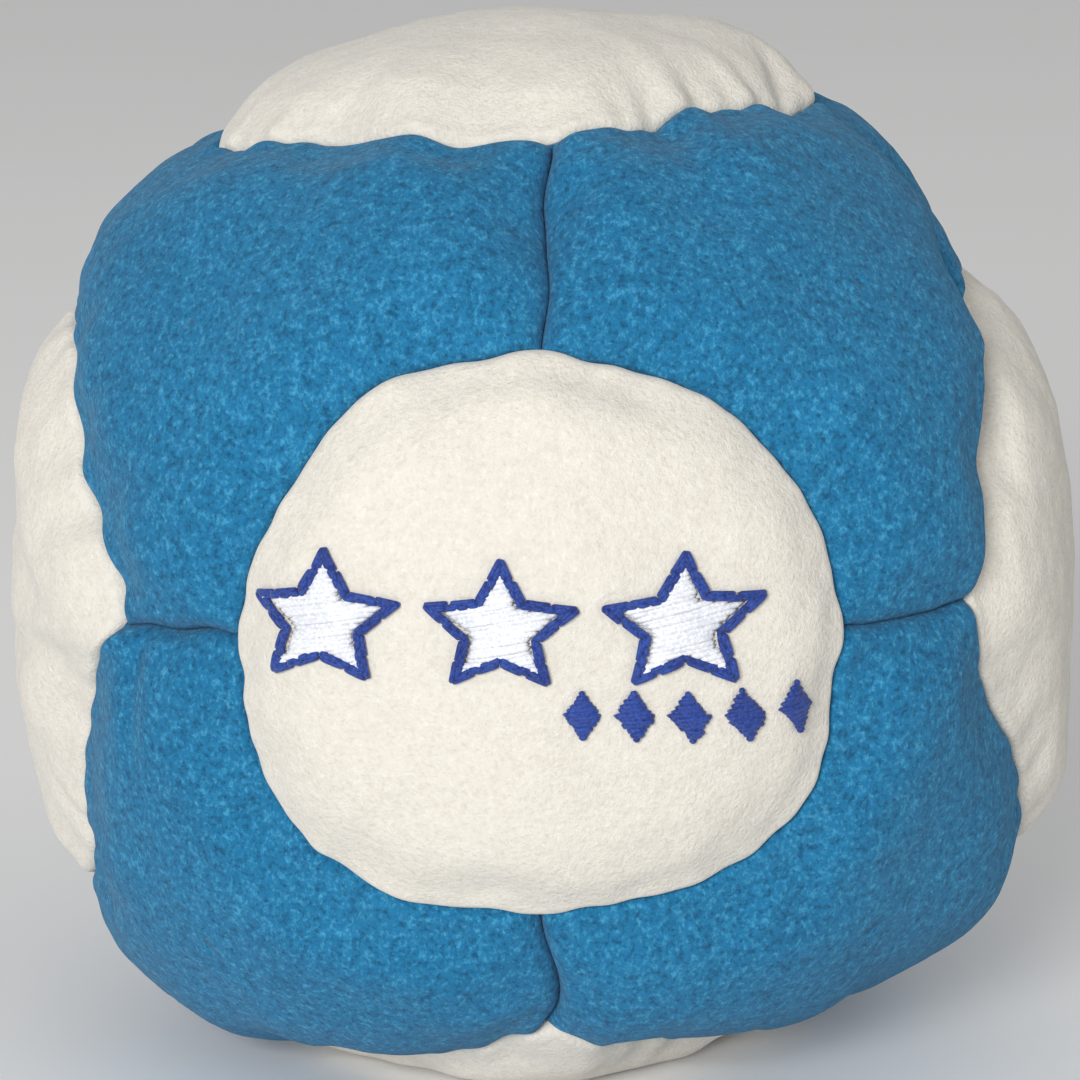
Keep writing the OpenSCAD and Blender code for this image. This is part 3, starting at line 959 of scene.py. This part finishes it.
def sand_heap():
    """The sand: the bag's inside less a bell curve of the distance to the seams, which leaves
    room for their allowances, cut off at a level and lumpy top. A grid of angles from the top
    and around it, closed at its two poles."""
    down, around = np.linspace(0, math.pi, SAND_ROWS), np.linspace(0, 2 * math.pi, SAND_COLUMNS)
    theta, phi = np.meshgrid(down, around, indexing="ij")
    q = np.stack([np.sin(theta) * np.cos(phi), np.sin(theta) * np.sin(phi), np.cos(theta)], -1)
    q[:, -1] = q[:, 0]
    q[0], q[-1] = (0, 0, 1), (0, 0, -1)
    inside = (np.abs(q).max(-1) > math.cos(SEAM_ANGLE))[..., None]
    _, round_d, round_seam = places(q, False)
    _, corner_d, corner_seam = places(q, True)
    d = np.where(inside, round_d, corner_d)
    seam = np.where(inside[..., 0], round_seam, corner_seam)
    groove = SAND_GROOVE * np.exp(-((seam / SAND_GROOVE_REACH) ** 2))
    r = bag_radius(d) - SAND_INSET - groove
    p = d * r[..., None] + [0, 0, MIDDLE_H]
    top = SAND_LEVEL + 0.25 * lumps(9, p, 12.0) + 0.12 * lumps(10, p, 3.0)
    p[..., 2] = np.maximum(np.minimum(p[..., 2], top), SAND_FLOOR)
    points, faces = joined([facing_out(p, np.array([0, 0, 12.0]))])
    return new_piece("sand", points, faces, "sand_fill")


sand = sand_heap()

# ---- Finishes ----


class Flow:
    """A value from a node. Python's operators on it add the matching Math nodes."""

    def __init__(self, bench, socket):
        self.bench, self.socket = bench, socket

    def maths(self, operation, first, second):
        """The result of a Math node on two values."""
        return self.bench.node("ShaderNodeMath", {"operation": operation}, {0: first, 1: second})

    def __add__(self, other):
        return self.maths("ADD", self, other)

    def __mul__(self, other):
        return self.maths("MULTIPLY", self, other)

    def __sub__(self, other):
        return self.maths("SUBTRACT", self, other)

    def __rsub__(self, other):
        return self.maths("SUBTRACT", other, self)

    __radd__, __rmul__ = __add__, __mul__

    def between(self, low, high):
        """Nought below low, one above high, and an S-curve between them."""
        return self.bench.node(
            "ShaderNodeMapRange", {"interpolation_type": "SMOOTHSTEP"},
            {"Value": self, "From Min": low, "From Max": high},
        )


class Bench:
    """Where one finish's nodes are put together."""

    def __init__(self, name, roughness, sheen=0.0, sheen_tint=(1, 1, 1)):
        self.material = bpy.data.materials.new(name)
        self.material.use_nodes = True
        self.tree = self.material.node_tree
        self.shader = self.tree.nodes["Principled BSDF"]
        self.shader.inputs["Roughness"].default_value = roughness
        self.shader.inputs["Specular IOR Level"].default_value = 0.25
        self.shader.inputs["Sheen Weight"].default_value = sheen
        self.shader.inputs["Sheen Roughness"].default_value = 0.55
        self.shader.inputs["Sheen Tint"].default_value = (*sheen_tint, 1)
        self.place = self.node("ShaderNodeTexCoord", {}, {}, "Object")

    def node(self, kind, settings, inputs, output=0):
        """Adds a node, applies its settings, then fills or links its sockets."""
        made = self.tree.nodes.new(kind)
        for key, value in settings.items():
            setattr(made, key, value)
        for key, value in inputs.items():
            self.feed(made.inputs[key], value)
        return Flow(self, made.outputs[output])

    def feed(self, socket, value):
        """Links a socket to a value that varies, or sets it to a number, vector or colour."""
        if isinstance(value, Flow):
            self.tree.links.new(value.socket, socket)
        elif isinstance(value, tuple) and len(value) == 3 and socket.type == "RGBA":
            socket.default_value = (*value, 1)
        else:
            socket.default_value = value

    def noise(self, size_mm, detail=2.0, roughness=0.6, distortion=0.0, at=None):
        """Noise whose features are about this size."""
        return self.node(
            "ShaderNodeTexNoise", {},
            {"Vector": at or self.place, "Scale": 0.65 / (size_mm * MM), "Detail": detail,
             "Roughness": roughness, "Distortion": distortion},
        )

    def stretched(self, squeeze, turn):
        """Object coordinates turned and squeezed, for noise that runs in streaks."""
        return self.node(
            "ShaderNodeMapping", {}, {"Vector": self.place, "Rotation": turn, "Scale": squeeze}
        )

    def mix(self, share, a, b):
        """A colour between a and b."""
        return self.node("ShaderNodeMix", {"data_type": "RGBA"}, {0: share, 6: a, 7: b}, 2)

    def finish(self, colour, height, depth_mm):
        """Feeds the shader its colour and a bump of this depth, and returns the material."""
        self.feed(self.shader.inputs["Base Color"], colour)
        bump = self.node(
            "ShaderNodeBump", {}, {"Height": height, "Distance": depth_mm * MM, "Strength": 1.0}
        )
        self.feed(self.shader.inputs["Normal"], bump)
        return self.material


def suede(name, shaded_pits, ground, tips, worn, sheen=0.25, sheen_tint=(1, 1, 1)):
    """Brushed synthetic suede: a ground colour with soft patches where the nap has been stroked
    the other way, dark specks that are painted shade in the hollows between the fibres, where
    the nap's bump is lowest, and light tips of loose ones."""
    b = Bench(name, 0.95, sheen, sheen_tint)
    fibres = b.noise(0.15, 3.0, 0.7)
    clumps = b.noise(0.32, 2.0, 0.6)
    loose = b.noise(0.14, 3.0, 0.7, at=b.stretched((1.0, 1.0, 0.8), (0.9, 0.4, 1.3)))
    stroked = b.noise(3.0, 2.0, 0.55, 0.4)
    broad = b.noise(11.0, 1.0, 0.5)
    nap = fibres * 0.65 + clumps * 0.35
    patches = (stroked * 0.6 + broad * 0.4).between(0.38, 0.62)
    # painted shade: the hollows of the nap, where the bump is lowest, take the dark colour, which
    # also gives the suede its dark speckle
    pit_shade = 1.0 - nap.between(0.32, 0.55)
    ends = (loose * 0.65 + clumps * 0.35).between(0.48, 0.70)
    colour = b.mix(patches * 0.4, ground, worn)
    # painted shade laid into the hollows between the fibres
    colour = b.mix(pit_shade * 0.72, colour, shaded_pits)
    colour = b.mix(ends * 0.6, colour, tips)
    return b.finish(colour, nap, 0.16)


def thread_finish(name, dark, light):
    """Twisted thread: fine streaks of two shades and a low gloss."""
    b = Bench(name, 0.5, 0.15)
    streak = b.noise(0.09, 2.0, 0.6, at=b.stretched((1.0, 0.35, 1.0), (0.6, 0.2, 0.4)))
    broad = b.noise(1.4, 2.0, 0.5)
    shade = streak * 0.7 + broad * 0.3
    return b.finish(b.mix(shade.between(0.35, 0.65), dark, light), streak, 0.05)


SAND_GRAIN = 0.45


def sand_finish():
    """Dry sand: grains of several shades, each a cell with its own colour and height."""
    b = Bench("dry sand", 0.9)
    size = {"Vector": b.place, "Scale": 1 / (SAND_GRAIN * MM)}
    grain = b.node("ShaderNodeTexVoronoi", {}, size, "Color")
    edge = Flow(b, grain.socket.node.outputs["Distance"])
    tint = b.node("ShaderNodeSeparateColor", {}, {"Color": grain})
    colour = b.mix(tint, (0.50, 0.36, 0.20), (0.78, 0.68, 0.50))
    return b.finish(colour, 1.0 - edge, 0.2)


def paper_finish():
    """Felted backing: matt off-white with soft clumps."""
    b = Bench("felted backing", 0.95)
    clump = b.noise(0.7, 4.0, 0.7)
    colour = b.mix(clump.between(0.3, 0.7), (0.66, 0.66, 0.63), (0.8, 0.8, 0.77))
    return b.finish(colour, clump, 0.1)


def floor_finish():
    """A pale matt floor, hardly mottled."""
    b = Bench("pale floor", 0.8)
    mottle = b.noise(60, 2.0, 0.5)
    return b.finish(b.mix(mottle, (0.93, 0.93, 0.92), (0.95, 0.95, 0.95)), mottle, 0.01)


white_suede = suede(
    "white suede",
    # the first colour is painted shade for the hollows between the white fibres, and the suede's dark
    # speckle
    shaded_pits=(0.575, 0.535, 0.465), ground=(0.665, 0.63, 0.56),
    tips=(0.75, 0.72, 0.66), worn=(0.64, 0.605, 0.535),
)
blue_suede = suede(
    "blue suede",
    # the first colour is painted shade for the hollows between the blue fibres, and the suede's dark
    # speckle
    shaded_pits=(0.003, 0.036, 0.09), ground=(0.008, 0.136, 0.285),
    tips=(0.075, 0.37, 0.58), worn=(0.012, 0.17, 0.345),
    sheen=0.12, sheen_tint=(0.55, 0.8, 1.0),
)
seam_thread = thread_finish("dark blue thread", (0.010, 0.05, 0.12), (0.02, 0.10, 0.22))
navy_thread = thread_finish("navy thread", (0.008, 0.022, 0.15), (0.018, 0.06, 0.30))
white_thread = thread_finish("white thread", (0.56, 0.58, 0.64), (0.78, 0.79, 0.80))
for piece in white_panels:
    give(piece, white_suede)
for piece in blue_panels:
    give(piece, blue_suede)
for piece in threads:
    give(piece, seam_thread)
give(embroidery_fill, white_thread)
give(embroidery_outline, navy_thread)
give(embroidery_diamonds, navy_thread)
give(backing, paper_finish())
give(sand, sand_finish())

# ---- Stage ----
# The floor is in metres. The camera's elevation is in degrees and its distance in millimetres.
FLOOR_HALF = 3.0
floor_mesh = bpy.data.meshes.new("floor")
floor_corners = [(x * FLOOR_HALF, y * FLOOR_HALF, 0) for x, y in ((-1, -1), (1, -1), (1, 1), (-1, 1))]
floor_mesh.from_pydata(floor_corners, [], [(0, 1, 2, 3)])
floor = bpy.data.objects.new("floor", floor_mesh)
bpy.context.scene.collection.objects.link(floor)
give(floor, floor_finish())

CAMERA_ELEVATION = 11
CAMERA_DISTANCE = 240
camera = bpy.data.objects.new("camera", bpy.data.cameras.new("camera"))
bpy.context.scene.collection.objects.link(camera)
bpy.context.scene.camera = camera
camera.data.lens = 159
back = bearing(0, CAMERA_ELEVATION)
camera.location = (back * CAMERA_DISTANCE + [0, 0, MIDDLE_H]) * MM
camera.rotation_euler = Vector(-back).to_track_quat("-Z", "Y").to_euler()
camera.data.clip_start = 0.01


def soft_lamp(name, azimuth, elevation, distance, size, power):
    """Square lamp on a bearing from the bag, in metres, turned towards it."""
    light = bpy.data.lights.new(name, "AREA")
    light.size = size
    light.energy = power
    lamp = bpy.data.objects.new(name, light)
    bpy.context.scene.collection.objects.link(lamp)
    out = bearing(azimuth, elevation)
    lamp.location = Vector(out * distance)
    lamp.rotation_euler = Vector(out).to_track_quat("Z", "Y").to_euler()


soft_lamp("key", -16, 17, 1.0, 0.35, 8.6)
soft_lamp("fill", 55, 30, 1.3, 0.9, 1.4)
room = bpy.data.worlds.new("room")
bpy.context.scene.world = room
room.use_nodes = True
room.node_tree.nodes["Background"].inputs["Color"].default_value = (1, 1, 1, 1)
room.node_tree.nodes["Background"].inputs["Strength"].default_value = 0.43
bpy.context.scene.view_settings.view_transform = "Standard"
